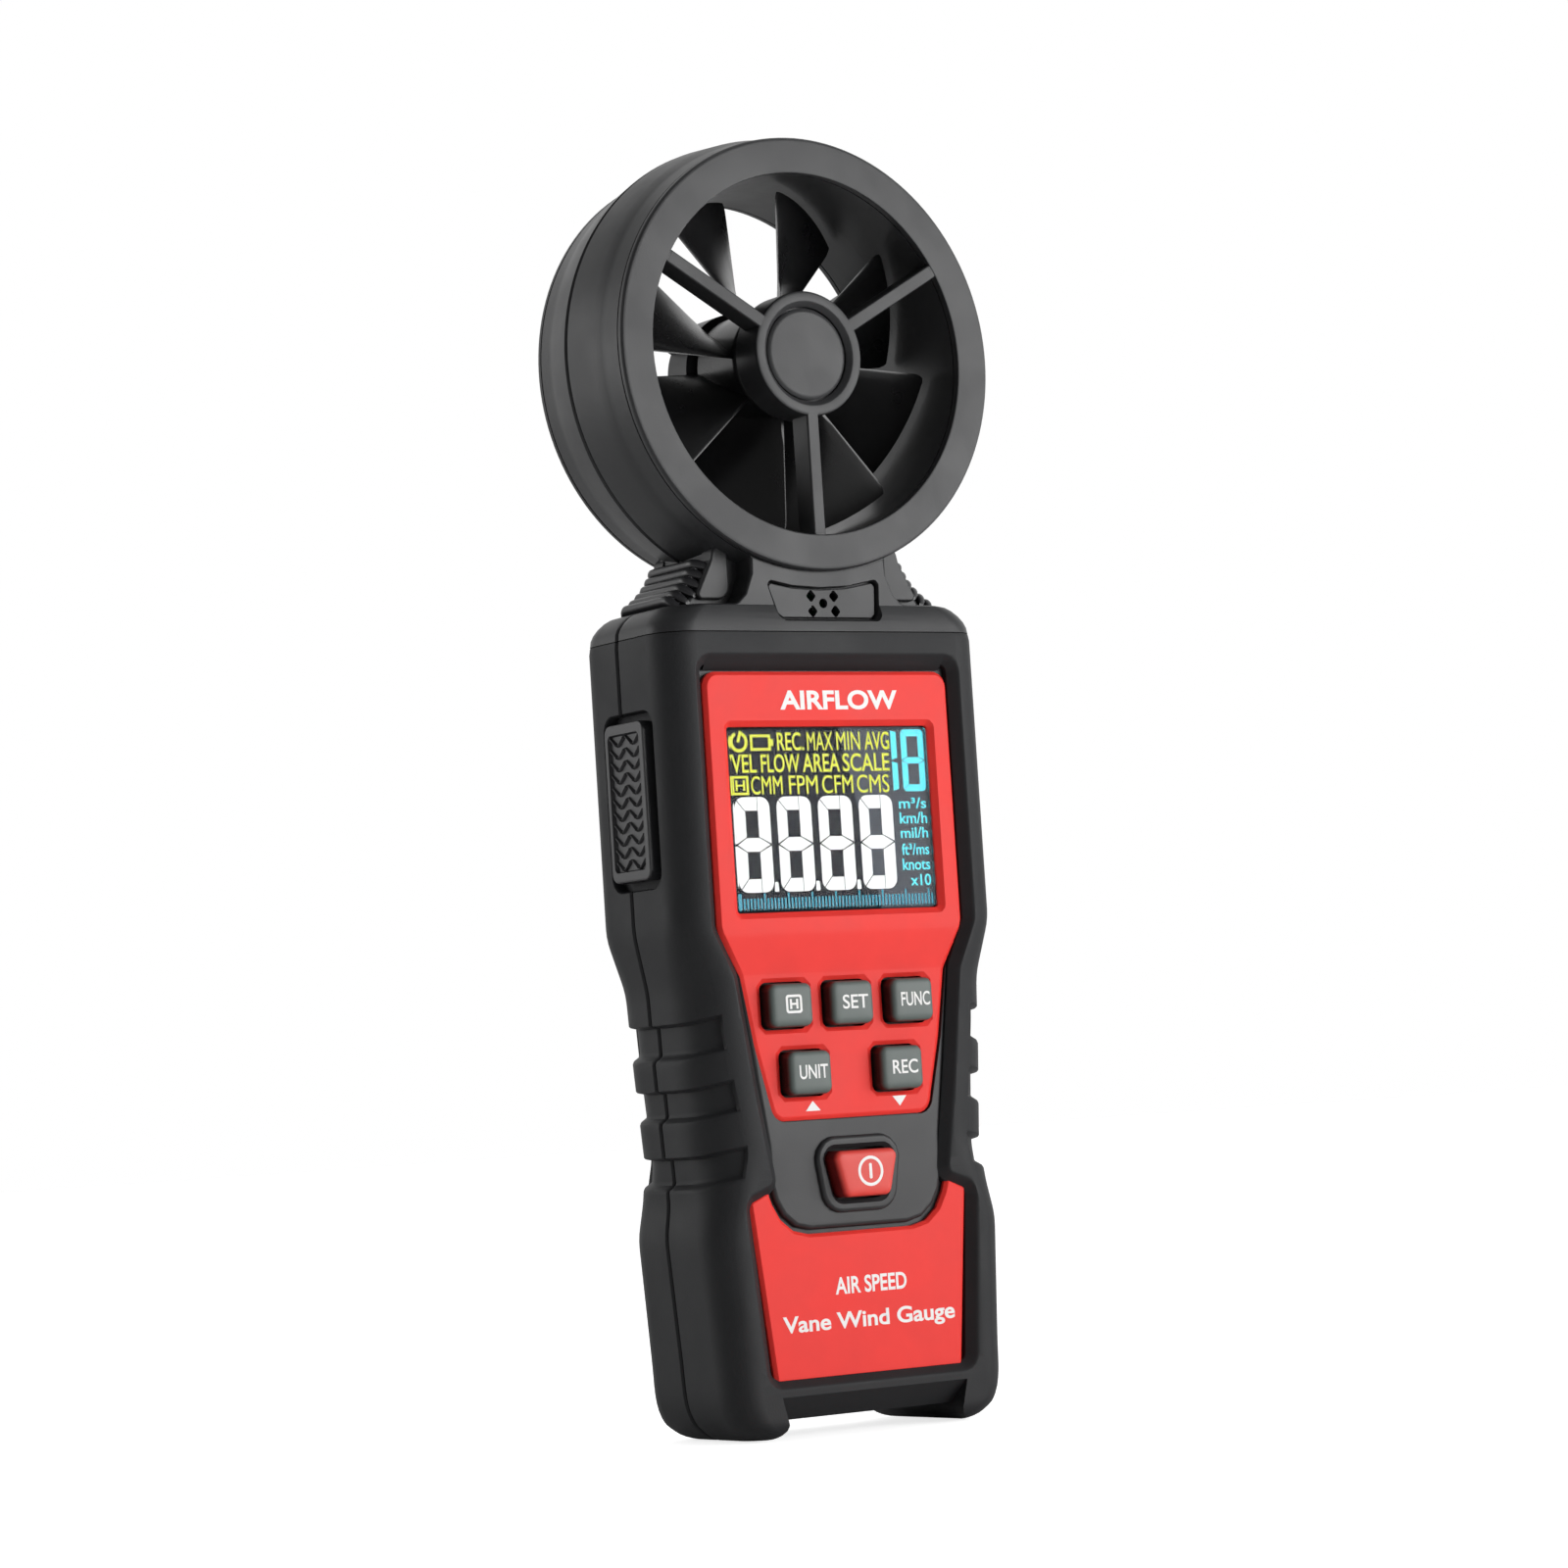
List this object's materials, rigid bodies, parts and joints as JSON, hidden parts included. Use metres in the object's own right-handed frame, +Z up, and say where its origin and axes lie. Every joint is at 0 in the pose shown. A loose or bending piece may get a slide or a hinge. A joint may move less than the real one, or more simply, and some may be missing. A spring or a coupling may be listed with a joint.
{
  "type": "vane anemometer",
  "caption": "Handheld vane anemometer: an air speed impeller in a guarded ring on a slim meter body with colour display, keypad, rubber grip covers and battery bay.",
  "frame": {"origin": "under the middle of the meter, on the surface that its two feet stand on", "axes": "+Z up towards the vane, +X to the right as seen by someone reading the display, +Y from the display towards the back"},
  "size_m": [0.0752, 0.0298, 0.2136],
  "materials": {
    "soft_rubber": "matt, fine grain",
    "black_plastic": "fine spark texture",
    "red_plastic": "satin",
    "key_rubber": "matt, printed legends",
    "red_rubber": "matt",
    "clear_plastic": "polished",
    "display_glass": "polished, dark",
    "white_plastic": "moulded",
    "board_green": "solder mask",
    "steel": "bright zinc plate",
    "brass": "spring strip",
    "cell_jacket": "printed sleeve"
  },
  "bodies": {
    "root": {"front_grip": "soft_rubber", "rear_grip": "soft_rubber", "neck_pad_left": "soft_rubber", "neck_pad_right": "soft_rubber", "side_pad_left": "soft_rubber", "side_pad_right": "soft_rubber", "front_case": "black_plastic", "rear_case": "black_plastic", "front_guard": "black_plastic", "rear_guard": "black_plastic", "front_hub_cap": "black_plastic", "rear_hub_cap": "black_plastic", "vent_insert": "black_plastic", "battery_case": "black_plastic", "buzzer": "black_plastic", "display_panel": "red_plastic", "lower_plate": "red_plastic", "keypad_mat": "key_rubber", "lcd_window": "clear_plastic", "lcd_module": "display_glass", "lcd_frame": "white_plastic", "circuit_board": "board_green", "pickup_board": "board_green", "front_bearing": "steel", "rear_bearing": "steel", "thermistor": "steel", "case_screw_1": "steel", "case_screw_2": "steel", "case_screw_3": "steel", "case_screw_4": "steel", "contact_minus": "brass", "contact_plus": "brass", "battery_1": "cell_jacket", "battery_2": "cell_jacket", "battery_3": "cell_jacket"},
    "rotor": {"impeller": "black_plastic", "rotor_shaft": "steel"},
    "key_hold": {"key_hold": "key_rubber"},
    "key_set": {"key_set": "key_rubber"},
    "key_func": {"key_func": "key_rubber"},
    "key_unit": {"key_unit": "key_rubber"},
    "key_rec": {"key_rec": "key_rubber"},
    "power_key": {"power_key": "red_rubber"},
    "battery_door": {"battery_door": "black_plastic", "door_screw": "steel"}
  },
  "joints": [
    {"name": "rotor_spin", "type": "hinge", "parent": "root", "child": "rotor", "pos_m": [0, 0, 0.176], "axis": [0, 1, 0], "continuous": true},
    {"name": "key_hold_press", "type": "slide", "parent": "root", "child": "key_hold", "axis": [0, 1, 0], "range_m": [0, 0.0008], "stiffness_N_per_m": 600},
    {"name": "key_set_press", "type": "slide", "parent": "root", "child": "key_set", "axis": [0, 1, 0], "range_m": [0, 0.0008], "stiffness_N_per_m": 600},
    {"name": "key_func_press", "type": "slide", "parent": "root", "child": "key_func", "axis": [0, 1, 0], "range_m": [0, 0.0008], "stiffness_N_per_m": 600},
    {"name": "key_unit_press", "type": "slide", "parent": "root", "child": "key_unit", "axis": [0, 1, 0], "range_m": [0, 0.0008], "stiffness_N_per_m": 600},
    {"name": "key_rec_press", "type": "slide", "parent": "root", "child": "key_rec", "axis": [0, 1, 0], "range_m": [0, 0.0008], "stiffness_N_per_m": 600},
    {"name": "power_key_press", "type": "slide", "parent": "root", "child": "power_key", "axis": [0, 1, 0], "range_m": [0, 0.0008], "stiffness_N_per_m": 600},
    {"name": "battery_door_lift", "type": "slide", "parent": "root", "child": "battery_door", "axis": [0, 1, 0], "range_m": [0, 0.03]}
  ]
}
